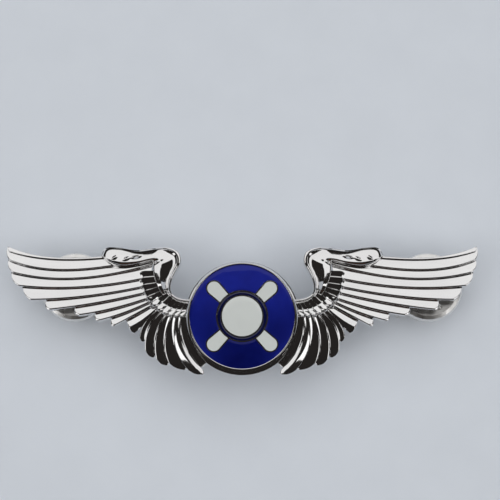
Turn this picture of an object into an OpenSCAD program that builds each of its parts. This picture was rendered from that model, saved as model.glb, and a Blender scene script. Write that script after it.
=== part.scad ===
// Pilot wings pin: struck wings, an enamelled medallion, two posts and two butterfly clutches.
// Units are millimetres. +Z is the face of the badge, +Y the shoulders, +X the right wing.
// The pin lies face up on its clutch ears. The origin is the middle of its footprint.

/* [Wings] */
// Span of the wings from tip to tip
wing_span = 76.2; // [70:0.1:84]
// Thickness of the flat plate that backs the feathers
plate_t = 0.9; // [0.6:0.1:1.2]
// Height of the long primary feathers at their roots, above the back
primary_h = 1.8; // [1.5:0.1:2.2]
// Height of the short secondary feathers at their roots, above the back
secondary_h = 2.3; // [1.8:0.1:2.6]
// Tilt of each feather across its width, in degrees
feather_tilt = 6; // [2:0.5:8]
// Height of the shoulder roll above the back
shoulder_h = 2.9; // [2.2:0.1:3.4]
// Number of covert ribs between shoulder and feathers
covert_count = 12; // [8:1:14]

/* [Medallion] */
// Diameter of the medallion
medallion_d = 17.6; // [15:0.1:18]
// Thickness of the medallion at its rim
medallion_t = 1.9; // [1.4:0.1:2.4]
// Width of the rim
rim_w = 0.5; // [0.4:0.05:0.8]
// Depth of the enamel cells
cell_depth = 0.5; // [0.3:0.05:0.7]
// Width of the raised walls between the enamel colours
cell_wall = 0.22; // [0.15:0.01:0.3]
// Diameter of the white hub
hub_d = 6.4; // [4:0.1:7]
// Number of propeller blades
blade_count = 4; // [3:1:5]
// Width of a blade near its tip
blade_w = 2.6; // [1.6:0.1:2.8]

/* [Posts] */
// Distance between the two posts
post_pitch = 57.4; // [50:0.1:60]
// Diameter of a post
post_d = 1.1; // [0.9:0.05:1.3]
// Length of a post from the wing's back to its point
post_len = 6.6; // [6:0.1:6.8]
// Diameter of a post's head
post_head_d = 3.8; // [3:0.1:4.4]

/* [Clutches] */
// Diameter of a clutch
clutch_d = 11.2; // [9.5:0.1:11.5]
// Height of a clutch, from ear tips to grip face
clutch_h = 6.0; // [5.8:0.1:6.4]
// Gap between the wing's back and the grip face, where the cloth goes
cloth_gap = 0.9; // [0.6:0.1:1.5]
// Turn of each clutch about its post, which swings the inner ears forward, in degrees
clutch_turn = 30; // [0:1:45]
// Width of an ear
ear_w = 3.4; // [3:0.1:3.6]

/* [Hidden] */
$fn = 48;

silver = [0.86, 0.87, 0.88];
solder_grey = [0.62, 0.63, 0.64];
enamel_blue = [0.05, 0.10, 0.45];
enamel_navy = [0.03, 0.04, 0.20];
enamel_white = [0.86, 0.88, 0.86];

// The medallion's centre lies this far in front of the footprint's middle.
medallion_y = -1.342;
wing_scale = wing_span / 75.6;
back_z = clutch_h + cloth_gap;
post_y = medallion_y + 5.35;
// The posts are soldered on this far off centre, towards the right wing.
post_x = 1.5;
half_pitch = post_pitch / 2;
slack = 0.08;
// Width by which each feather is tucked under the one above it.
tuck_w = 0.45;
// Gap round the medallion in its seat.
seat_gap = 0.02;

// Free edges of the right wing's feathers, each as [root, middle, end] in mm from the medallion's
// centre, on a wing of 75.6 mm span. The first line is the top edge of the wing.
primary_edges = [
    [[14.0, 11.2], [28.0, 9.65], [38.0, 11.5]],
    [[14.0, 9.6], [28.0, 7.65], [37.6, 9.35]],
    [[14.0, 8.5], [26.5, 6.3], [37.0, 7.3]],
    [[14.8, 6.4], [25.5, 4.85], [36.0, 5.1]],
    [[15.2, 5.0], [25.0, 3.35], [34.0, 2.8]],
    [[15.0, 3.95], [23.2, 2.25], [31.0, 1.2]],
    [[14.6, 3.1], [20.5, 1.35], [26.2, 0.3]],
    [[14.2, 2.6], [18.6, 0.7], [23.0, -0.6]],
    [[13.6, 2.2], [17.0, 0.35], [20.5, -1.45]],
    [[12.9, 1.3], [15.2, -0.8], [17.2, -2.5]]];
// How far along the edge above it each primary feather reaches, as a share of that edge.
primary_reach = [1.0, 1.0, 1.01, 0.965, 0.88, 0.74, 0.77, 0.76, 0.7];
// Outer edges of the secondary feathers, from the medallion outwards.
secondary_edges = [
    [[7.6, 0.2], [7.7, -3.6], [5.6, -6.8]],
    [[9.6, 0.2], [9.4, -4.1], [7.0, -7.9]],
    [[10.4, 0.3], [10.75, -4.3], [9.0, -8.6]],
    [[11.1, 0.4], [12.3, -3.6], [11.7, -7.2]],
    [[11.9, 0.6], [13.65, -2.8], [13.7, -6.5]],
    [[12.8, 0.8], [14.95, -1.9], [15.5, -5.1]],
    [[13.6, 1.1], [15.6, -1.0], [16.4, -3.0]]];
// How far along the edge inside it each secondary feather reaches.
secondary_reach = [1.0, 1.06, 0.92, 0.98, 0.9, 0.72];
// Outer and inner outlines of the shoulder roll, from the medallion to the end of the arm.
shoulder_outer = [[7.4, 2.9], [9.3, 2.95], [10.7, 3.4], [11.4, 4.3], [11.3, 5.7], [10.7, 7.2], [9.85, 9.0],
    [10.3, 10.6], [12.0, 11.3], [14.2, 11.2], [17.0, 10.9], [19.8, 11.3], [21.8, 11.3], [22.7, 10.2]];
shoulder_inner = [[7.4, 1.2], [9.4, 1.5], [11.3, 2.3], [12.9, 3.8], [13.7, 5.4], [14.1, 6.8], [14.2, 7.8],
    [14.2, 8.4], [14.6, 8.6], [15.4, 8.4], [17.0, 7.95], [19.2, 7.7], [21.3, 8.4], [22.5, 9.6]];
// Inner and outer ends of the covert ribs.
covert_inner = [[14.1, 8.2], [13.6, 5.6], [12.8, 4.3], [11.9, 3.2], [10.7, 2.3], [9.4, 1.9], [8.2, 1.8]];
covert_outer = [[16.6, 8.1], [16.5, 5.2], [15.8, 3.1], [14.2, 1.1], [12.3, -0.1], [10.3, -0.4], [8.6, -0.4]];

// Point at share t of a quadratic curve that passes through three points.
function arc_at(edge, t) = let (bend = 2 * edge[1] - (edge[0] + edge[2]) / 2)
    (1 - t) * (1 - t) * edge[0] + 2 * t * (1 - t) * bend + t * t * edge[2];
// Point at share t of a smooth curve through a list of points.
function spline_at(points, t) = let (
        count = len(points) - 1,
        place = min(t * count, count - 0.0001),
        i = floor(place),
        f = place - i,
        a = points[max(i - 1, 0)], b = points[i], c = points[i + 1], d = points[min(i + 2, count)])
    0.5 * (2 * b + (c - a) * f + (2 * a - 5 * b + 4 * c - d) * f * f + (3 * b - a - 3 * c + d) * f * f * f);
function unit(v) = v / norm(v);
function across(v) = [-v[1], v[0]];
// Width share left at share t of a feather, so that its end is round.
function taper(t, cap) = t < 1 - cap ? 1 : sqrt(max(0, 1 - pow((t - 1 + cap) / cap, 2)));

// Outline of a feather between the edge it is tucked under and its own free edge.
function feather_outline(tuck_edge, reach, free_edge, cap, tuck) = let (
        stations = [0, 0.15, 0.3, 0.45, 0.6, 0.75, 1 - cap, 1 - 0.6 * cap, 1 - 0.3 * cap, 1 - 0.1 * cap, 1],
        sides = [for (t = stations) let (
                free = arc_at(free_edge, t),
                edge = arc_at(tuck_edge, t * reach),
                up = edge + tuck * unit(edge - free),
                w = taper(t, cap))
            [up + (free - up) * 0.5 * (1 - w), free + (up - free) * 0.5 * (1 - w)]])
    concat([for (s = sides) s[0]], [for (i = [len(sides) - 2:-1:0]) sides[i][1]]);

module clip_to_back() {
    difference() {
        children();
        translate([-60, -60, -10])
            cube([120, 120, 10]);
    }
}

// One feather slab. It leans down towards the edge it is tucked under, and down towards its tip.
module feather(tuck_edge, reach, free_edge, top_h, lean, dip, cap, tuck = tuck_w) {
    root = free_edge[0];
    run = free_edge[2] - root;
    heading = atan2(run[1], run[0]);
    slab_t = top_h - 0.3;
    translate([root[0], root[1], top_h])
        rotate([0, 0, heading])
            rotate([lean, dip, 0])
                rotate([0, 0, -heading])
                    translate([-root[0], -root[1], -slab_t])
                        linear_extrude(slab_t)
                            polygon(feather_outline(tuck_edge, reach, free_edge, cap, tuck));
}

module feather_plate(tuck_edge, reach, free_edge, cap, tuck = tuck_w) {
    linear_extrude(plate_t)
        polygon(feather_outline(tuck_edge, reach, free_edge, cap, tuck));
}

// The shoulder roll between two shares of its width, as a terrace of the given height.
module shoulder_layer(inset, height) {
    steps = 40;
    sides = [for (i = [0:steps]) let (t = i / steps, a = spline_at(shoulder_outer, t),
        b = spline_at(shoulder_inner, t)) [a + (b - a) * inset, b + (a - b) * inset]];
    linear_extrude(height)
        polygon(concat([for (s = sides) s[0]], [for (i = [steps:-1:0]) sides[i][1]]));
}

// One covert rib: a bar with chamfered sides, laid across the covert band.
module covert(t) {
    start = spline_at(covert_inner, t);
    end = spline_at(covert_outer, t);
    run = end - start;
    translate([start[0], start[1], secondary_h - 0.35])
        rotate([0, 0, atan2(run[1], run[0])])
            rotate([0, 90, 0])
                cylinder(r = 0.55, h = norm(run), $fn = 8);
}

module covert_bed() {
    steps = 16;
    linear_extrude(secondary_h - 0.35)
        polygon(concat(
            [for (i = [0:steps]) spline_at(covert_inner, i / steps)],
            [for (i = [steps:-1:0]) spline_at(covert_outer, i / steps)]));
}

module right_wing() {
    for (i = [0:len(primary_reach) - 1]) {
        cap = i < 4 ? 0.05 : 0.05 + 0.01 * i;
        tuck = i > 0 ? tuck_w : 0;
        feather_plate(primary_edges[i], primary_reach[i], primary_edges[i + 1], cap, tuck);
        feather(primary_edges[i], primary_reach[i], primary_edges[i + 1], primary_h,
            -feather_tilt, 1.2, cap, tuck);
    }
    for (i = [0:len(secondary_reach) - 1]) {
        cap = 0.16;
        feather_plate(secondary_edges[i], secondary_reach[i], secondary_edges[i + 1], cap);
        feather(secondary_edges[i], secondary_reach[i], secondary_edges[i + 1], secondary_h,
            feather_tilt, 8, cap);
    }
    covert_bed();
    for (i = [0:covert_count - 1])
        covert((i + 0.5) / covert_count);
    shoulder_layer(0, 0.7 * shoulder_h);
    shoulder_layer(0.16, 0.88 * shoulder_h);
    shoulder_layer(0.32, shoulder_h);
}

module wing_body() {
    color(silver)
        translate([0, medallion_y, back_z])
            difference() {
                clip_to_back() {
                    scale(wing_scale) {
                        right_wing();
                        mirror([1, 0, 0])
                            right_wing();
                    }
                    cylinder(d = medallion_d, h = pad_t);
                }
                translate([0, 0, pad_t])
                    cylinder(d = medallion_d + 2 * seat_gap, h = 5);
            }
}

// Heights of the medallion's layers.
pad_t = 1.4;
solder_t = 0.1;
tray_z = back_z + pad_t + solder_t;
face_z = tray_z + medallion_t;
rim_drop = 0.12;
floor_z = face_z - rim_drop - cell_depth;
field_r = medallion_d / 2 - rim_w;
hub_r = hub_d / 2;
ring_in = hub_r + cell_wall;
ring_out = ring_in + 0.5;
field_in = ring_out + cell_wall;
blade_tip_r = field_r - 0.7;

module blades_2d(grow) {
    tip = blade_w / 2;
    for (i = [0:blade_count - 1])
        rotate([0, 0, (i + 0.5) * 360 / blade_count])
            union() {
                translate([0, blade_tip_r - tip])
                    circle(r = tip + grow);
                polygon([[-0.3 * blade_w - grow, 0], [0.3 * blade_w + grow, 0],
                    [tip + grow, blade_tip_r - tip], [-tip - grow, blade_tip_r - tip]]);
            }
}

module ring_2d(outer, inner) {
    difference() {
        circle(r = outer);
        circle(r = inner);
    }
}

module cell(depth_z) {
    translate([0, medallion_y, floor_z])
        linear_extrude(depth_z)
            children();
}

module medallion_tray() {
    rim_r = medallion_d / 2;
    round_r = 0.25;
    color(silver)
        difference() {
            translate([0, medallion_y, tray_z])
                rotate_extrude()
                    union() {
                        square([rim_r - round_r, medallion_t]);
                        square([rim_r, medallion_t - round_r]);
                        translate([rim_r - round_r, medallion_t - round_r])
                            circle(r = round_r);
                    }
            cell(5)
                circle(r = hub_r);
            cell(5)
                ring_2d(ring_out, ring_in);
            cell(5)
                difference() {
                    ring_2d(field_r, field_in);
                    blades_2d(cell_wall);
                }
            cell(5)
                difference() {
                    blades_2d(0);
                    circle(r = field_in);
                }
        }
}

module enamel_field() {
    color(enamel_blue)
        cell(cell_depth)
            difference() {
                ring_2d(field_r, field_in);
                blades_2d(cell_wall);
            }
}

module enamel_ring() {
    color(enamel_navy)
        cell(cell_depth - 0.05)
            ring_2d(ring_out, ring_in);
}

module enamel_blades() {
    color(enamel_white)
        cell(cell_depth)
            difference() {
                blades_2d(0);
                circle(r = field_in);
            }
}

module enamel_hub() {
    color(enamel_white)
        cell(cell_depth)
            circle(r = hub_r);
}

module medallion_solder() {
    color(solder_grey)
        translate([0, medallion_y, back_z + pad_t])
            cylinder(d = medallion_d - 1.4, h = solder_t);
}

// One post: a head against the wing's back, a shaft with a grip groove, and a point.
head_t = 0.45;
module post(side) {
    r = post_d / 2;
    groove_z = post_len - 1.9;
    color(silver)
        translate([post_x + side * half_pitch, post_y, back_z])
            mirror([0, 0, 1])
                rotate_extrude()
                    polygon([[0, 0], [post_head_d / 2, 0], [post_head_d / 2, head_t - 0.1],
                        [post_head_d / 2 - 0.1, head_t], [r + 0.15, head_t], [r, head_t + 0.15],
                        [r, groove_z - 0.3], [0.75 * r, groove_z - 0.15], [0.75 * r, groove_z + 0.15],
                        [r, groove_z + 0.3], [r, post_len - 1.0], [0.12, post_len - 0.05],
                        [0, post_len]]);
}

// The fillet of solder round one post's head.
module post_solder(side) {
    inner = post_head_d / 2;
    color(solder_grey)
        translate([post_x + side * half_pitch, post_y, back_z])
            mirror([0, 0, 1])
                rotate_extrude()
                    polygon([[inner, 0], [inner + 0.6, 0], [inner + 0.3, 0.1], [inner, head_t - 0.15]]);
}

// Places a clutch piece, drawn with its grip face at z = 0, on its post.
module on_post(side) {
    translate([post_x + side * half_pitch, post_y, clutch_h])
        rotate([0, 0, side * (clutch_turn + 90)])
            children();
}

hole_r = post_d / 2 + slack;
sheet_t = 0.3;
// The dished base with its funnel hole, grip nibs and curled rim.
module clutch_base(side) {
    r = clutch_d / 2;
    nib_ring_r = 0.66 * r;
    color(silver)
        on_post(side) {
            rotate_extrude()
                polygon([[hole_r, -0.6], [1.7, 0], [r - 0.8, 0], [r - 0.25, -0.22], [r, -0.6],
                    [r, -1.25], [r - 0.2, -1.45], [r - 0.75, -1.45], [r - 0.75, -1.2],
                    [r - 0.35, -1.15], [r - sheet_t, -0.7], [r - 0.5, -0.45],
                    [r - 0.9, -sheet_t], [1.8, -sheet_t], [hole_r, -0.9]]);
            for (i = [0:5])
                rotate([0, 0, side * (60 * i - 94 - clutch_turn)])
                    translate([side * nib_ring_r, 0, 0])
                        grip_nib();
        }
}

// A small domed nib on the grip face.
module grip_nib() {
    difference() {
        translate([0, 0, -0.45])
            sphere(r = 0.65);
        translate([-1, -1, -sheet_t / 2 - 2])
            cube([2, 2, 2]);
    }
}

// The cage: a flange held by the base's curled rim, and a windowed cup with a hole for the post.
cup_r = 3.6;
cup_z = -4.2;
module clutch_cage(side) {
    flange_r = clutch_d / 2 - 0.38;
    window_w = ear_w + 0.8;
    color(silver)
        on_post(side)
            difference() {
                rotate_extrude()
                    polygon([[flange_r, -1.15], [flange_r, -0.9], [cup_r - sheet_t, -0.9],
                        [cup_r - sheet_t, cup_z + sheet_t], [hole_r, cup_z + sheet_t], [hole_r, cup_z],
                        [cup_r - 0.3, cup_z], [cup_r, cup_z + 0.3], [cup_r, -1.15]]);
                translate([-window_w / 2, -10, -3.75])
                    cube([window_w, 20, 2.4]);
            }
}

// Outline of a strip of even thickness along a bent line.
function strip(line, t) = let (
        last = len(line) - 1,
        normals = [for (i = [0:last]) let (
                before = i > 0 ? unit(line[i] - line[i - 1]) : unit(line[1] - line[0]),
                after = i < last ? unit(line[i + 1] - line[i]) : unit(line[last] - line[last - 1]),
                mid = unit(before + after))
            across(mid) / (mid * after)])
    concat([for (i = [0:last]) line[i] + normals[i] * t / 2],
        [for (i = [last:-1:0]) line[i] - normals[i] * t / 2]);

// One ear with its jaw, as a bent strip. The fold inside the cage is its hinge line.
ear_line = [[0.15, -1.6], [0.9, -1.75], [1.6, -2.55], [1.9, -2.9], [2.6, -3.05], [4.2, -3.1], [4.8, -3.5],
    [5.75, -5.35], [6.05, 0.081 - clutch_h]];
module ear(side, inner) {
    color(silver)
        on_post(side)
            rotate([0, 0, inner ? 0 : 180])
                difference() {
                    rotate([90, 0, 90])
                        translate([0, 0, -ear_w / 2])
                            linear_extrude(ear_w)
                                polygon(strip(ear_line, 0.34));
                    translate([0, 0, -5])
                        cylinder(r = hole_r, h = 5);
                }
}

module left_post() post(-1);
module right_post() post(1);
module left_post_solder() post_solder(-1);
module right_post_solder() post_solder(1);
module left_clutch_base() clutch_base(-1);
module right_clutch_base() clutch_base(1);
module left_clutch_cage() clutch_cage(-1);
module right_clutch_cage() clutch_cage(1);
module left_ear_inner() ear(-1, true);
module right_ear_inner() ear(1, true);
module left_ear_outer() ear(-1, false);
module right_ear_outer() ear(1, false);

wing_body();
medallion_tray();
enamel_field();
enamel_ring();
enamel_blades();
enamel_hub();
medallion_solder();
left_post();
right_post();
left_post_solder();
right_post_solder();
left_clutch_base();
right_clutch_base();
left_clutch_cage();
right_clutch_cage();
left_ear_inner();
right_ear_inner();
left_ear_outer();
right_ear_outer();
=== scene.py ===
"""Looks for the pilot wings pin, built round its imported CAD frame.

Shapes are worked out in millimetres and turned into metres when a piece is made.
"""

import math

import bmesh
import bpy
import numpy as np
from mathutils import Matrix, Vector

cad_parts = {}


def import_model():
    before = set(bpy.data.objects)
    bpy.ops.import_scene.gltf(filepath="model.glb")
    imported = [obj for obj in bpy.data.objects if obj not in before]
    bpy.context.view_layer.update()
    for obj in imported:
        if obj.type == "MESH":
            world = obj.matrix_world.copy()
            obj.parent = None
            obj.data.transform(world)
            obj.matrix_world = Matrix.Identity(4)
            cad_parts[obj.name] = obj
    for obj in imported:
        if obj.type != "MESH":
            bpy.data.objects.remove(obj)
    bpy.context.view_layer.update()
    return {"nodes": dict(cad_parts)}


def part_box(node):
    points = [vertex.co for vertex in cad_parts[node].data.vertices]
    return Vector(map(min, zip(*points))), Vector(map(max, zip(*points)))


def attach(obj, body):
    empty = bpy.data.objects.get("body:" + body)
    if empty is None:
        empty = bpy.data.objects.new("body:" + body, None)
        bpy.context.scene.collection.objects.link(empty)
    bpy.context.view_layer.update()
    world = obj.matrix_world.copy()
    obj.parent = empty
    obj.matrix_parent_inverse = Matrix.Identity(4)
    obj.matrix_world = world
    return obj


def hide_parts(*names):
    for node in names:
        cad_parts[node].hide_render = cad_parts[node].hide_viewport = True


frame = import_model()

MM = 0.001

# ---------------------------------------------------------------- places, from the frame (mm)


def box_mm(node):
    """The corners of a node's box, in mm."""
    low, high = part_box(node)
    return np.array(low) / MM, np.array(high) / MM


tray_low, tray_high = box_mm("medallion_tray")
wing_low, _ = box_mm("wing_body")
medal_x, medal_y = (tray_low[:2] + tray_high[:2]) / 2
medal_r = (tray_high[0] - tray_low[0]) / 2
back_z = wing_low[2]
tray_z, face_z = tray_low[2], tray_high[2]


# ---------------------------------------------------------------- curves


def arc_at(edge, t):
    """Points at shares t of a quadratic curve that passes through three points."""
    a, m, b = (np.array(p, float) for p in edge)
    bend = 2 * m - (a + b) / 2
    t = np.asarray(t, float)[..., None]
    return (1 - t) ** 2 * a + 2 * t * (1 - t) * bend + t * t * b


def spline_at(points, t):
    """Points at shares t of a smooth curve through a list of points."""
    pts = np.array(points, float)
    count = len(pts) - 1
    place = np.minimum(np.asarray(t, float) * count, count - 1e-6)
    i = np.floor(place).astype(int)
    f = (place - i)[..., None]
    a, b = pts[np.maximum(i - 1, 0)], pts[i]
    c, d = pts[i + 1], pts[np.minimum(i + 2, count)]
    return 0.5 * (2 * b + (c - a) * f + (2 * a - 5 * b + 4 * c - d) * f**2 + (3 * b - a - 3 * c + d) * f**3)


def blend(low, high, x):
    """0 below low, 1 above high, and a smooth step between."""
    x = np.clip((np.asarray(x, float) - low) / (high - low), 0, 1)
    return x * x * (3 - 2 * x)


# ---------------------------------------------------------------- meshes


MERGE_DISTANCE = 1e-5
SHORTEST_EDGE = 1e-6


def new_object(name, verts, faces):
    """A mesh object from points and faces, with doubled points merged and faces turned outwards."""
    mesh = bpy.data.meshes.new(name)
    mesh.from_pydata([tuple(v) for v in np.asarray(verts)], [], faces)
    bm = bmesh.new()
    bm.from_mesh(mesh)
    bmesh.ops.remove_doubles(bm, verts=bm.verts, dist=MERGE_DISTANCE)
    bmesh.ops.dissolve_degenerate(bm, edges=bm.edges, dist=SHORTEST_EDGE)
    bmesh.ops.recalc_face_normals(bm, faces=bm.faces)
    bm.to_mesh(mesh)
    bm.free()
    obj = bpy.data.objects.new(name, mesh)
    bpy.context.scene.collection.objects.link(obj)
    return obj


def ring_faces(start_a, start_b, count):
    """Quads between two closed loops of points."""
    pairs = [(i, (i + 1) % count) for i in range(count)]
    return [(start_a + i, start_a + n, start_b + n, start_b + i) for i, n in pairs]


EDGE_RINGS = 3  # loops of points round a relief's rounded edge


def relief_solid(name, plan, height, edge_r):
    """A closed solid: a relief surface with a rounded edge, and an upright wall down to z = 0.

    plan(inset) gives a grid of plan points [along][across], shrunk all round by inset. height(points)
    gives the heights of the grid that is shrunk by edge_r."""
    top = plan(edge_r)
    rows, cols = top.shape[:2]
    z = height(top)
    verts = np.dstack([top, z]).reshape(-1, 3)
    faces = []
    for i in range(rows - 1):
        for j in range(cols - 1):
            a = i * cols + j
            faces.append((a, a + 1, a + cols + 1, a + cols))

    def loop(grid):
        return np.vstack([grid[:, 0], grid[-1, 1:], grid[-2::-1, -1], grid[0, -2:0:-1]])

    index = np.arange(rows * cols).reshape(rows, cols)[..., None]
    prev = loop(index)[:, 0]
    edge_z = loop(z[..., None])[:, 0]
    count = len(prev)
    levels = []
    for k in range(1, EDGE_RINGS + 1):
        angle = math.pi / 2 * k / EDGE_RINGS
        outline = loop(plan(edge_r * (1 - math.sin(angle))))
        levels.append(np.column_stack([outline, edge_z - edge_r * (1 - math.cos(angle))]))
    levels.append(np.column_stack([loop(plan(0.0)), np.zeros(count)]))
    for level in levels:
        start = len(verts)
        verts = np.vstack([verts, level])
        here = np.arange(start, start + count)
        for i in range(count):
            n = (i + 1) % count
            faces.append((prev[i], prev[n], here[n], here[i]))
        prev = here

    def far(i):
        """The point of the lowest loop that lies across from point i of its first long side."""
        return prev[2 * rows + cols - 3 - i]

    # The flat underside, as strips between the two long sides, and a face at each end.
    faces.append((prev[0], *prev[:2 * rows + cols - 4:-1], far(1), prev[1]))
    for i in range(1, rows - 2):
        faces.append((prev[i], far(i), far(i + 1), prev[i + 1]))
    faces.append((prev[rows - 2], far(rows - 2), *prev[rows + cols - 2:rows - 2:-1]))
    return new_object(name, verts, [tuple(int(v) for v in f) for f in faces])


# ---------------------------------------------------------------- wings

# Every outline of the right wing is in mm from the medallion's centre. A feather's free edge is
# [root, middle, end], and its upper edge is the free edge of the feather above it: the first line of
# each list is only an upper edge. A reach is the share of that upper edge that the tip comes to.
PRIMARY_EDGES = [
    [[14.5, 11.2], [28.0, 9.65], [37.6, 11.5]],
    [[14.5, 9.6], [28.0, 7.65], [37.6, 9.35]],
    [[14.4, 8.5], [26.5, 6.3], [37.0, 7.3]],
    [[14.8, 6.4], [25.5, 4.85], [36.0, 5.1]],
    [[15.2, 5.0], [25.0, 3.35], [34.0, 2.8]],
    [[15.0, 3.95], [23.2, 2.25], [31.0, 1.2]],
    [[14.6, 3.1], [20.5, 1.35], [26.2, 0.3]],
    [[14.2, 2.6], [18.6, 0.7], [23.0, -0.6]],
    [[13.6, 2.2], [17.0, 0.35], [20.5, -1.45]],
    [[12.9, 1.3], [15.2, -0.8], [17.2, -2.5]],
]
PRIMARY_REACH = [0.975, 0.965, 0.965, 0.92, 0.805, 0.675, 0.695, 0.685, 0.63]
# The lower edge of the thin rolled strip along the top of the wing.
LEADING_EDGE = [[14.5, 10.5], [28.0, 9.3], [37.6, 10.7]]
SECONDARY_EDGES = [
    [[7.6, 0.2], [7.7, -3.6], [5.6, -6.8]],
    [[9.6, 0.2], [9.3, -4.1], [6.7, -8.0]],
    [[10.4, 0.3], [10.65, -4.4], [8.5, -8.45]],
    [[11.1, 0.4], [12.3, -3.6], [11.7, -7.2]],
    [[11.9, 0.6], [13.65, -2.8], [13.7, -6.5]],
    [[12.8, 0.8], [14.95, -1.9], [15.5, -5.1]],
    [[13.6, 1.1], [15.6, -1.0], [16.4, -3.0]],
]
SECONDARY_REACH = [1.0, 1.06, 0.92, 0.98, 0.9, 0.72]
# Both sides of the shoulder, from the medallion up the neck and out along the arm.
SHOULDER_OUTER = [[7.4, 2.9], [9.3, 2.95], [10.7, 3.4], [11.4, 4.3], [11.3, 5.7], [10.7, 7.2], [9.85, 9.0],
                  [10.3, 10.6], [12.0, 11.3], [14.2, 11.2], [17.0, 10.9], [19.8, 11.3], [21.8, 11.3],
                  [22.7, 10.2]]
SHOULDER_INNER = [[7.4, 1.2], [9.4, 1.5], [11.3, 2.3], [12.9, 3.8], [13.7, 5.4], [14.1, 6.8], [14.2, 7.8],
                  [14.2, 8.4], [14.6, 8.6], [15.4, 8.4], [17.0, 7.95], [19.2, 7.7], [21.3, 8.4], [22.5, 9.6]]
# Dents on the arm: centre x and y, half length, half width, and the turn in degrees.
ARM_DENTS = [(20.5, 9.6, 0.8, 0.5, -40), (18.6, 9.4, 0.8, 0.5, -30), (17.1, 9.7, 0.9, 0.45, -10)]
# Both sides of the band of covert ribs, from the arm down to the medallion.
COVERT_INNER = [[14.2, 7.5], [13.6, 5.6], [12.8, 4.3], [11.9, 3.2], [10.7, 2.3], [9.4, 1.9], [8.2, 1.8]]
COVERT_OUTER = [[16.6, 7.4], [16.5, 5.2], [15.8, 3.1], [14.2, 1.1], [12.3, -0.1], [10.3, -0.4], [8.6, -0.4]]
COVERTS = 12


def feather(name, tuck_edge, reach, free_edge, shape):
    """One feather: a strip tucked under the edge above it, with a bevel along its free edge.

    shape gives lengths and heights in mm, and angles in radians:
    edge_r                       radius of the rounded edge
    tuck                         how far the strip goes on under the feather above
    tip, blunt                   how far the tip bulges past the end, and whether only its low corner is round
    root_z, tip_z, fall          height at both ends, and the power of the fall between them
    crown, tilt                  rise and lean from the upper edge to the free edge
    groove                       depth of the groove below the upper edge
    bevel, bevel_root, bevel_w   angle of the bevel, and its width at both ends"""
    rows, tuck_left_at_tip, groove_width = 48, 0.3, 0.16
    edge_r, tuck = shape["edge_r"], shape["tuck"]
    s = 1 - (1 - np.linspace(0, 1, rows)) ** 1.25
    length = np.linalg.norm(np.array(free_edge[2]) - np.array(free_edge[0]))
    across = np.concatenate([np.linspace(0, 0.3, 5, endpoint=False), np.linspace(0.3, 0.8, 8, endpoint=False),
                             1 - 0.2 * (1 - np.linspace(0, 1, 10)) ** 1.5])
    lobe = across**3.5 if shape["blunt"] else np.abs(2 * across - 1) ** 2.8
    end = 1 + shape["tip"] / length * (1 - lobe)

    def lines(t):
        free = arc_at(free_edge, t)
        edge = arc_at(tuck_edge, t * reach)
        width = np.linalg.norm(edge - free, axis=-1)
        return free, edge, (edge - free) / width[..., None], width

    def plan(inset):
        t = s[:, None] * (end[None, :] - inset / length)
        free, edge, way, _ = lines(t)
        hidden = tuck * (1 - (1 - tuck_left_at_tip) * t**3)[..., None]
        high = edge + way * (hidden - inset)
        low = free + way * inset
        return high + (low - high) * across[None, :, None]

    def height(points):
        t = s[:, None] * (end[None, :] - edge_r / length)
        _, edge, way, width = lines(t)
        past = np.sum((edge - points) * way, axis=-1)
        left = width - past
        u = np.clip(past / width, 0, 1.1)
        line = shape["root_z"] + (shape["tip_z"] - shape["root_z"]) * np.clip(t, 0, None) ** shape["fall"]
        rise = shape["crown"] * (1 - u) ** 2 + math.tan(shape["tilt"]) * (1 - u) * width
        groove = shape["groove"] * np.exp(-np.maximum(past, 0) / groove_width)
        bevel_w = shape["bevel_root"] + (shape["bevel_w"] - shape["bevel_root"]) * t**2
        bevel = math.tan(shape["bevel"]) * np.maximum(0, bevel_w + edge_r - left)
        return line - rise - groove - bevel

    return relief_solid(name, plan, height, edge_r)


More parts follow.
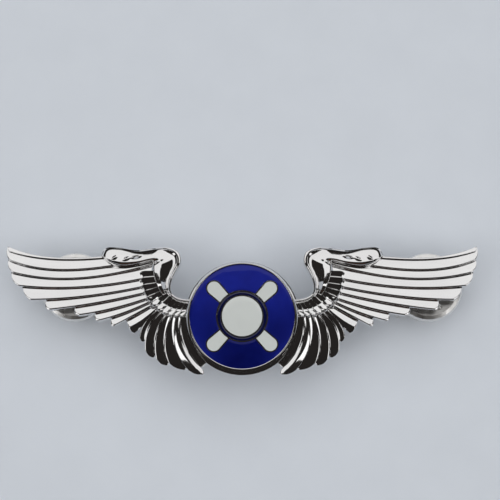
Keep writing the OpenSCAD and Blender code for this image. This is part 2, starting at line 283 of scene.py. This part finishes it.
def shoulder():
    """The rolled shoulder: a hipped neck that turns into a round arm."""
    edge_r = 0.22
    # s and t run along the shoulder, and v runs across it from its outer side, all from 0 to 1.
    s = np.concatenate([np.linspace(0, 0.92, 130, endpoint=False),
                        1 - 0.08 * (1 - np.linspace(0, 1, 16)) ** 1.5])
    share = np.sqrt(np.maximum(0, 1 - np.clip((s - 0.95) / 0.055, 0, 1) ** 2.5))
    v = np.linspace(0, 1, 44)[None, :]
    t = s[:, None]

    def plan(inset):
        outer = spline_at(SHOULDER_OUTER, s)
        inner = spline_at(SHOULDER_INNER, s)
        way = inner - outer
        way /= np.linalg.norm(way, axis=1)[:, None]
        outer, inner = outer + way * inset, inner - way * inset
        middle = (outer + inner) / 2
        half = (outer - inner) / 2 * share[:, None]
        return middle[:, None] + half[:, None] * (1 - 2 * v)[..., None]

    def neck(y):
        """A flat band with a thin rim, a facet that climbs to the ridge, and a facet that leans back."""
        foot, ridge = 0.26, 0.74
        climb = np.clip((v - foot) / (ridge - foot), 0, 1)
        beyond = np.clip((v - ridge) / (1 - ridge), 0, 1)
        pitch = 1.3 * blend(0.15, 0.3, t) - 0.3 - 0.45 * blend(0.46, 0.6, t)
        rim = 0.22 * np.exp(-((v - 0.1) / 0.05) ** 2)
        base = 1.6 + 0.35 * np.clip(t / 0.4, 0, 1)
        return base + rim + pitch * climb - 0.12 * beyond + 0.07 * np.minimum(9.5 - y, 5)

    def arm():
        """A long slope up to a crest near the lower side, then a round drop, all lower at the nose."""
        crest = 0.72
        up = np.clip(v / crest, 0, 1)
        down = np.clip((v - crest) / (1 - crest), 0, 1)
        nose = np.sqrt(np.maximum(0.0, 1 - np.clip((t - 0.9) / 0.1, 0, 1) ** 2))
        roll = 0.95 * up**0.8 - 1.7 * (1 - np.sqrt(np.maximum(0, 1 - down**2)))
        return 1.95 + roll * (0.5 + 0.5 * nose)

    def dents(x, y):
        """Small pits, each steeper on its upper side."""
        steepness, upper = 0.5, 2.2
        depth = 0.0
        for cx, cy, long, wide, degrees in ARM_DENTS:
            c, n = math.cos(math.radians(degrees)), math.sin(math.radians(degrees))
            along, aside = (x - cx) * c + (y - cy) * n, (y - cy) * c - (x - cx) * n
            aside = np.where(aside > 0, upper * aside, aside)
            depth = depth + steepness * wide * np.maximum(0, 1 - np.hypot(along / long, aside / wide))
        return depth

    def height(points):
        x, y = points[..., 0], points[..., 1]
        mix = blend(0.53, 0.68, t)
        return neck(y) * (1 - mix) + (arm() - dents(x, y)) * mix

    return relief_solid("shoulder", plan, height, edge_r)


def coverts():
    """The band of small ribs between the shoulder and the feathers, each lapping over the one before."""
    edge_r, per_rib, lap_rise, tucked = 0.1, 20, 0.16, 0.5
    # s runs along the band, f through one rib, and v across from the shoulder's side, all from 0 to 1.
    s = np.linspace(0, 1, COVERTS * per_rib + 1)
    phase = (s * COVERTS) % 1.0
    v = np.linspace(0, 1, 30)[None, :]
    f = phase[:, None]

    def plan(inset):
        inner = spline_at(COVERT_INNER, s)
        outer = spline_at(COVERT_OUTER, s)
        way = outer - inner
        way /= np.linalg.norm(way, axis=1)[:, None]
        scallop = 0.4 * np.abs(2 * phase - 1) ** 2.5
        outer = outer - way * (scallop[:, None] + inset)
        inner = inner - way * (tucked - inset)
        return inner[:, None] + (outer - inner)[:, None] * v[..., None]

    def height(points):
        # Upper ribs lap like shingles. Lower down, their outer part turns into round beads.
        low = blend(0.28, 0.5, s)[:, None]
        bead = blend(0.4, 0.62, v) * low
        saw = np.where(f < lap_rise, blend(0, lap_rise, f), 1 - (f - lap_rise) / (1 - lap_rise))
        lap = (0.24 - 0.12 * blend(0.4, 0.6, s)[:, None]) * saw
        round_rib = 0.24 * np.sin(math.pi * f) ** 0.8
        valley = (0.3 * blend(0.48, 0.82, v) - 0.24 * np.minimum(v, 0.5)) * low
        end = -0.8 * blend(0.84, 1.04, v) ** 1.2
        return 2.15 + lap * (1 - bead) + round_rib * bead + valley + end

    return relief_solid("coverts", plan, height, edge_r)


def revolve(name, profile, steps=128, closed_ring=False):
    """A solid of revolution about the z axis. The profile is a list of (radius, z), which a closed ring
    joins end to end."""
    verts, faces = [], []
    for r, z in profile:
        for k in range(steps):
            a = 2 * math.pi * k / steps
            verts.append((r * math.cos(a), r * math.sin(a), z))
    rows = len(profile)
    for i in range(rows if closed_ring else rows - 1):
        faces += ring_faces(i * steps, ((i + 1) % rows) * steps, steps)
    if not closed_ring:
        # A flat cap at each end that isn't on the axis.
        for i in (0, rows - 1):
            if profile[i][0] > SHORTEST_EDGE:
                faces.append(tuple(range(i * steps, (i + 1) * steps)))
    return new_object(name, verts, faces)


def rounded(centre, radius, start, end, steps):
    """Points of a circular arc round a centre, from one angle to another in degrees."""
    x, y = centre
    angles = [math.radians(start + (end - start) * k / steps) for k in range(steps + 1)]
    return [(x + radius * math.cos(a), y + radius * math.sin(a)) for a in angles]


PAD_TOP = tray_z - back_z - 0.1


def pad():
    """The round pad behind the medallion, with a sloped foot a little wider than the medallion."""
    top, foot, slope = medal_r - 0.04, medal_r + 0.36, 0.34
    return revolve("pad", [(foot, 0), (foot, PAD_TOP - slope), (top, PAD_TOP), (0, PAD_TOP)])


def seat_cutter():
    """The space that the medallion takes out of the wings."""
    r, tall = medal_r + 0.03, 6
    return revolve("seat", [(r, PAD_TOP), (r, PAD_TOP + tall)], 256)


def mirrored(obj):
    """The same piece on the other side of the medallion."""
    twin = obj.copy()
    twin.data = obj.data.copy()
    twin.data.transform(Matrix.Scale(-1, 4, Vector((1, 0, 0))))
    twin.data.flip_normals()
    bpy.context.scene.collection.objects.link(twin)
    return twin


def combine(base, others, operation):
    """base with the others added or cut away, as one clean solid."""
    for other in others:
        mod = base.modifiers.new("join", "BOOLEAN")
        mod.solver = "MANIFOLD"
        mod.operation = operation
        mod.object = other
    graph = bpy.context.evaluated_depsgraph_get()
    mesh = bpy.data.meshes.new_from_object(base.evaluated_get(graph))
    base.modifiers.clear()
    base.data = mesh
    for other in others:
        bpy.data.objects.remove(other)
    return base


def build_wings():
    """Feathers, shoulders and ribs of both wings, joined to the pad as one struck piece."""
    strip = dict(blunt=False, edge_r=0.12, tuck=0.0, tip=0.3, root_z=2.0, tip_z=1.6, fall=1.0, crown=0.05,
                 tilt=math.radians(14), groove=0.0, bevel=0.0, bevel_root=0.0, bevel_w=0.0)
    parts = [feather("leading_edge", PRIMARY_EDGES[0], 1.0, LEADING_EDGE, strip)]
    last = len(PRIMARY_REACH) - 1
    for i, reach in enumerate(PRIMARY_REACH):
        inward = i / last
        shape = dict(blunt=True, edge_r=0.18 + 0.13 * inward, tuck=0.45 if i else -0.1,
                     tip=1.1 - 0.2 * inward, root_z=1.9, tip_z=1.45, fall=1.0, crown=0.12,
                     tilt=math.radians(5), groove=0.16, bevel=math.radians(20) if i == last else 0.0,
                     bevel_root=0.4, bevel_w=0.9)
        parts.append(feather(f"primary_{i}", PRIMARY_EDGES[i], reach, PRIMARY_EDGES[i + 1], shape))
    dark = dict(blunt=False, edge_r=0.1, tuck=0.45, tip=0.8, root_z=2.3, tip_z=1.1, fall=1.4, crown=0.25,
                tilt=0.0, groove=0.03, bevel=math.radians(29), bevel_root=0.0, bevel_w=0.03)
    # The first feather mostly lies under the medallion, and the second has a wide bright bevel.
    own = {0: dict(tip=0.2),
           1: dict(tip_z=1.6, fall=1.0, bevel=math.radians(25), bevel_root=0.15, bevel_w=1.3)}
    for i, reach in enumerate(SECONDARY_REACH):
        shape = {**dark, **own.get(i, {})}
        parts.append(feather(f"secondary_{i}", SECONDARY_EDGES[i], reach, SECONDARY_EDGES[i + 1], shape))
    parts.append(shoulder())
    parts.append(coverts())
    parts += [mirrored(p) for p in parts]
    body = combine(pad(), parts, "UNION")
    body = combine(body, [seat_cutter()], "DIFFERENCE")
    body.name = "struck_wings"
    place(body)
    return body


def place(obj):
    """Moves a piece made round the medallion's centre, in mm, to its place in the frame, in metres."""
    obj.data.transform(Matrix.Translation((medal_x, medal_y, back_z)))
    obj.data.transform(Matrix.Scale(MM, 4))


def smooth(obj, angle):
    """Smooth shading, except across edges sharper than an angle in degrees."""
    obj.data.polygons.foreach_set("use_smooth", [True] * len(obj.data.polygons))
    obj.data.set_sharp_from_angle(angle=math.radians(angle))


# ---------------------------------------------------------------- medallion

RIM_W = 0.5
WALL = 0.22
HUB_R, RING_IN, RING_OUT, FIELD_IN = 3.2, 3.42, 3.92, 4.14
BLADE_W, BLADE_TIP = 2.6, 7.6
BLADE_ANGLES = (45, 135, 225, 315)
FACE = face_z - back_z
ENAMEL_LOW = FACE - 0.62
ENAMEL_TOP = FACE - 0.12
WALL_TOP = ENAMEL_TOP + 0.02
GLAZE_TOP = ENAMEL_TOP - 0.02
SUNK = 0.1  # how far a wall goes into the floor it stands on
CLEAR = 5.0  # a height above every part of the medallion
ROUND_STEPS, RIM_STEPS = 192, 256


def blade_outline(grow):
    """The outline of a blade that points along +x, grown outwards, from the root and round the tip."""
    half, root_half = BLADE_W / 2, 0.3 * BLADE_W
    centre = BLADE_TIP - half
    lean = math.degrees(math.atan2(half - root_half, centre))
    tip = rounded((centre, 0), half + grow, -90 - lean, 90 + lean, 28)
    return [(0, -root_half - grow)] + tip + [(0, root_half + grow)]


def prism(name, outline, low, high):
    """An upright solid with a given outline."""
    count = len(outline)
    verts = [(x, y, low) for x, y in outline] + [(x, y, high) for x, y in outline]
    faces = ring_faces(0, count, count) + [tuple(range(count)), tuple(range(2 * count - 1, count - 1, -1))]
    return new_object(name, verts, faces)


def turned(obj, degrees):
    """Turns a piece about the medallion's axis."""
    obj.data.transform(Matrix.Rotation(math.radians(degrees), 4, "Z"))
    return obj


def blade_prisms(name, grow, low, high):
    """One upright solid for each blade, in place."""
    return [turned(prism(name, blade_outline(grow), low, high), a) for a in BLADE_ANGLES]


def plug(name, r, low):
    """A round solid that reaches clear above the medallion."""
    return revolve(name, [(r, low), (r, CLEAR)], ROUND_STEPS)


def ring_wall(r_in, r_out):
    """A raised metal ring between two enamels."""
    low = ENAMEL_LOW - SUNK
    return revolve("ring_wall", [(r_in, low), (r_out, low), (r_out, WALL_TOP), (r_in, WALL_TOP)],
                   ROUND_STEPS, closed_ring=True)


def tray():
    """The struck tray: a rounded rim, a floor, and the raised walls between the enamels."""
    r, edge, foot, chamfer_low, chamfer_in = medal_r, 0.08, 0.1, 0.3, 0.25
    low, inner = tray_z - back_z, r - RIM_W
    outline = [(0, low), (r - foot, low), (r, low + foot), (r, FACE - chamfer_low)]
    outline += rounded((r - chamfer_in - edge, FACE - edge), edge, 45, 90, 4)
    outline += rounded((inner + edge, FACE - edge), edge, 90, 180, 4)
    outline += [(inner, ENAMEL_LOW), (0, ENAMEL_LOW)]
    body = revolve("tray", outline, RIM_STEPS)
    walls = blade_prisms("blade_wall", 0, ENAMEL_LOW - SUNK, WALL_TOP)
    cells = blade_prisms("blade_cell", -WALL, ENAMEL_LOW, CLEAR)
    walls = [combine(wall, [cell], "DIFFERENCE") for wall, cell in zip(walls, cells)]
    web = combine(walls[0], walls[1:], "UNION")
    web = combine(web, [plug("centre_cut", FIELD_IN - WALL / 2, ENAMEL_LOW)], "DIFFERENCE")
    body = combine(body, [web, ring_wall(HUB_R, RING_IN), ring_wall(RING_OUT, FIELD_IN)], "UNION")
    body.name = "struck_tray"
    return body


def glaze(name, r_in, r_out, top, dome):
    """A disc or ring of enamel with a slightly domed top that dips to its walls."""
    samples, dip = 20, 0.03
    r = np.linspace(r_out, r_in, samples)
    middle = (r_out + r_in) / 2 if r_in > 0 else 0
    reach = (r_out - r_in) / 2 if r_in > 0 else r_out
    share = np.abs(r - middle) / reach
    z = top + dome * (1 - share**2) - dip * share**16
    profile = [(r_out, ENAMEL_LOW)] + list(zip(r, z))
    if r_in > 0:
        return revolve(name, profile + [(r_in, ENAMEL_LOW)], ROUND_STEPS, closed_ring=True)
    return revolve(name, profile, ROUND_STEPS)


def white_blades():
    """The enamel of the four blades, domed like the field. Each is made along +x and then turned."""
    blades = []
    for degrees in BLADE_ANGLES:
        solid = prism("blade_glaze", blade_outline(-WALL), ENAMEL_LOW, ENAMEL_TOP + 0.3)
        combine(solid, [glaze("cap", 0, medal_r - RIM_W - 0.3, GLAZE_TOP, 0.01)], "INTERSECT")
        combine(solid, [plug("hole", FIELD_IN, ENAMEL_LOW - 1)], "DIFFERENCE")
        blades.append(turned(solid, degrees))
    return combine(blades[0], blades[1:], "UNION")


def build_medallion():
    """Tray and enamels, each in the place of its CAD node."""
    field = glaze("blue_glaze", FIELD_IN, medal_r - RIM_W, GLAZE_TOP, 0.01)
    combine(field, blade_prisms("cut", 0, ENAMEL_LOW - 1, CLEAR), "DIFFERENCE")
    white = white_blades()
    ring = glaze("navy_glaze", RING_IN, RING_OUT, ENAMEL_TOP - 0.05, 0.02)
    hub = glaze("hub_glaze", 0, HUB_R, GLAZE_TOP, 0.03)
    made = {"medallion_tray": (tray(), "plating"), "enamel_field": (field, "blue_enamel"),
            "enamel_ring": (ring, "navy_enamel"), "enamel_blades": (white, "white_enamel"),
            "enamel_hub": (hub, "white_enamel")}
    for obj, _ in made.values():
        place(obj)
        smooth(obj, 30)
    return made


# ---------------------------------------------------------------- materials


def new_material(name):
    """A material with its node tree and its main shader."""
    mat = bpy.data.materials.new(name)
    mat.use_nodes = True
    return mat, mat.node_tree, mat.node_tree.nodes["Principled BSDF"]


def noise(tree, scale, detail, stretch=(1, 1, 1)):
    """A noise pattern in object space, in metres, stretched along the axes."""
    coord = tree.nodes.new("ShaderNodeTexCoord")
    mapping = tree.nodes.new("ShaderNodeMapping")
    mapping.inputs["Scale"].default_value = stretch
    tex = tree.nodes.new("ShaderNodeTexNoise")
    tex.inputs["Scale"].default_value = scale
    tex.inputs["Detail"].default_value = detail
    tree.links.new(coord.outputs["Object"], mapping.inputs["Vector"])
    tree.links.new(mapping.outputs["Vector"], tex.inputs["Vector"])
    return tex.outputs["Fac"]


def remap(tree, value, low, high):
    """A noise value, which mostly lies between 0.3 and 0.7, spread from low to high."""
    node = tree.nodes.new("ShaderNodeMapRange")
    node.inputs["From Min"].default_value, node.inputs["From Max"].default_value = 0.3, 0.7
    node.inputs["To Min"].default_value, node.inputs["To Max"].default_value = low, high
    tree.links.new(value, node.inputs["Value"])
    return node.outputs["Result"]


def mixed(tree, value, low, high):
    """A colour that goes from one to another as a value goes from 0 to 1."""
    ramp = tree.nodes.new("ShaderNodeValToRGB")
    ramp.color_ramp.elements[0].color = (*low, 1)
    ramp.color_ramp.elements[1].color = (*high, 1)
    tree.links.new(value, ramp.inputs["Fac"])
    return ramp.outputs["Color"]


def bumps(tree, shader, layers, slot="Normal"):
    """Chained bumps: each layer is a pattern and its height in metres."""
    normal = None
    for value, height in layers:
        bump = tree.nodes.new("ShaderNodeBump")
        bump.inputs["Distance"].default_value = height
        tree.links.new(value, bump.inputs["Height"])
        if normal:
            tree.links.new(normal, bump.inputs["Normal"])
        normal = bump.outputs["Normal"]
    tree.links.new(normal, shader.inputs[slot])


def plating():
    """Bright nickel plating: mirror-like, with a faint orange peel and fine wiping marks."""
    mat, tree, shader = new_material("plating")
    shader.inputs["Metallic"].default_value = 1
    tint = noise(tree, 300, 3, (0.3, 1.2, 1))
    tree.links.new(mixed(tree, tint, (0.74, 0.73, 0.74), (0.92, 0.92, 0.91)), shader.inputs["Base Color"])
    wiped = noise(tree, 900, 4, (0.25, 1.6, 1))
    tree.links.new(remap(tree, wiped, 0.03, 0.10), shader.inputs["Roughness"])
    bumps(tree, shader, [(noise(tree, 420, 2), 8e-6), (noise(tree, 2600, 2, (0.15, 1, 1)), 6e-7)])
    return mat


def steel():
    """Pressed nickel-plated steel of the clutches, with drawn streaks and small scuffs."""
    mat, tree, shader = new_material("plated_steel")
    shader.inputs["Metallic"].default_value = 1
    tint = noise(tree, 500, 4)
    tree.links.new(mixed(tree, tint, (0.80, 0.79, 0.77), (0.93, 0.92, 0.90)), shader.inputs["Base Color"])
    tree.links.new(remap(tree, noise(tree, 1500, 5, (1, 0.3, 1)), 0.24, 0.42), shader.inputs["Roughness"])
    bumps(tree, shader, [(noise(tree, 700, 3), 1e-5), (noise(tree, 5000, 3, (1, 0.2, 1)), 1.5e-6)])
    return mat


def solder():
    """Dull, slightly lumpy solder."""
    mat, tree, shader = new_material("solder")
    shader.inputs["Metallic"].default_value = 1
    tint = noise(tree, 900, 4)
    tree.links.new(mixed(tree, tint, (0.34, 0.34, 0.34), (0.55, 0.55, 0.54)), shader.inputs["Base Color"])
    tree.links.new(remap(tree, noise(tree, 1800, 4), 0.32, 0.55), shader.inputs["Roughness"])
    bumps(tree, shader, [(noise(tree, 1400, 3), 4e-5)])
    return mat


def enamel(name, low, high, roughness, sheen=0.0):
    """Fired enamel: a slightly uneven colour under a glassy top. With sheen, it shines like the dished
    metal floor below it."""
    dish = -16.0  # height of the dish in metres, for each square metre of its radius squared
    mat, tree, shader = new_material(name)
    tree.links.new(mixed(tree, noise(tree, 240, 4), low, high), shader.inputs["Base Color"])
    tree.links.new(remap(tree, noise(tree, 1200, 3), roughness, roughness * 1.3), shader.inputs["Roughness"])
    shader.inputs["Metallic"].default_value = sheen
    shader.inputs["Coat Weight"].default_value = 0.4
    shader.inputs["Coat Roughness"].default_value = 0.02
    shader.inputs["IOR"].default_value = 1.52  # glass
    peel = (noise(tree, 330, 2), 9e-6)
    bumps(tree, shader, [peel], "Coat Normal")
    if sheen:
        coord = tree.nodes.new("ShaderNodeTexCoord")
        centred = tree.nodes.new("ShaderNodeMapping")
        centred.inputs["Location"].default_value = (0, -medal_y * MM, 0)
        centred.inputs["Scale"].default_value = (1, 1, 0)
        square = tree.nodes.new("ShaderNodeVectorMath")
        square.operation = "DOT_PRODUCT"
        tree.links.new(coord.outputs["Object"], centred.inputs["Vector"])
        tree.links.new(centred.outputs["Vector"], square.inputs[0])
        tree.links.new(centred.outputs["Vector"], square.inputs[1])
        bumps(tree, shader, [(square.outputs["Value"], dish), (noise(tree, 900, 3), 1e-5)])
    else:
        bumps(tree, shader, [peel])
    return mat


def dress(obj, mat):
    """Gives a piece one material."""
    obj.data.materials.clear()
    obj.data.materials.append(mat)


materials = {
    "plating": plating(),
    "plated_steel": steel(),
    "solder": solder(),
    "blue_enamel": enamel("blue_enamel", (0.001, 0.004, 0.15), (0.003, 0.014, 0.31), 0.32, 0.75),
    "navy_enamel": enamel("navy_enamel", (0.001, 0.002, 0.03), (0.002, 0.004, 0.05), 0.06),
    "white_enamel": enamel("white_enamel", (0.66, 0.68, 0.64), (0.74, 0.76, 0.72), 0.12),
}

wings = build_wings()
smooth(wings, 32)
made = build_medallion()
made["wing_body"] = (wings, "plating")
for node, (obj, slot) in made.items():
    dress(obj, materials[slot])
    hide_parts(node)
    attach(obj, "badge")

for node, obj in frame["nodes"].items():
    if node not in made:
        mat = materials["solder" if "solder" in node else "plated_steel"]
        for k in range(len(obj.data.materials)):
            obj.data.materials[k] = mat

# ---------------------------------------------------------------- stage, lights, camera


def floor():
    """A plain pale table, a little speckled like laminate."""
    half = 3.0
    mesh = bpy.data.meshes.new("table")
    corners = [(-half, -half, 0), (half, -half, 0), (half, half, 0), (-half, half, 0)]
    mesh.from_pydata(corners, [], [(0, 1, 2, 3)])
    obj = bpy.data.objects.new("table", mesh)
    bpy.context.scene.collection.objects.link(obj)
    mat, tree, shader = new_material("table_top")
    tint = noise(tree, 120, 5)
    tree.links.new(mixed(tree, tint, (0.70, 0.73, 0.77), (0.76, 0.79, 0.83)), shader.inputs["Base Color"])
    shader.inputs["Roughness"].default_value = 0.55
    mesh.materials.append(mat)


def area(name, tilt, size, radiance, distance=0.8, colour=(1, 1, 1), glossy=True, diffuse=True):
    """A soft box that faces the pin, at a tilt from straight up towards +X and +Y, in degrees."""
    light = bpy.data.lights.new(name, "AREA")
    light.shape = "RECTANGLE"
    light.size, light.size_y = size
    light.energy = radiance * math.pi * size[0] * size[1]
    light.color = colour
    obj = bpy.data.objects.new(name, light)
    way = Vector((math.tan(math.radians(tilt[0])), math.tan(math.radians(tilt[1])), 1)).normalized()
    obj.location = way * distance
    obj.rotation_euler = way.to_track_quat("Z", "Y").to_euler()
    obj.visible_glossy = glossy
    obj.visible_diffuse = diffuse
    bpy.context.scene.collection.objects.link(obj)


def world():
    """A nearly black room, which the plating mirrors between the soft boxes."""
    studio = bpy.data.worlds.new("studio")
    bpy.context.scene.world = studio
    studio.use_nodes = True
    back = studio.node_tree.nodes["Background"]
    back.inputs["Color"].default_value = (0.020, 0.018, 0.017, 1)
    back.inputs["Strength"].default_value = 1.0


def camera():
    """A camera almost over the pin, which keeps the medallion a little below the middle."""
    cam = bpy.data.cameras.new("camera")
    obj = bpy.data.objects.new("camera", cam)
    bpy.context.scene.collection.objects.link(obj)
    bpy.context.scene.camera = obj
    cam.sensor_width, cam.lens, cam.clip_start = 36, 90, 0.01
    elevation, distance = math.radians(80), 0.2014
    target = Vector((0.00125, 0.00958, 0.0085))
    obj.location = target + distance * Vector((0, -math.cos(elevation), math.sin(elevation)))
    obj.rotation_euler = (target - obj.location).to_track_quat("-Z", "Y").to_euler()


floor()
world()
camera()
bpy.context.scene.view_settings.view_transform = "Standard"
area("overhead", (0, 38), (1.3, 0.85), 0.88, diffuse=False)
for name, side in (("front_left", -1), ("front_right", 1)):
    area(name, (side * 46, -27), (0.35, 0.55), 1.2)
area("warm", (0, -62), (0.5, 0.2), 0.06, colour=(1.0, 0.42, 0.25))
area("fill", (0, 12), (2.6, 2.6), 1.06, distance=1.2, colour=(0.94, 0.965, 1.0), glossy=False)
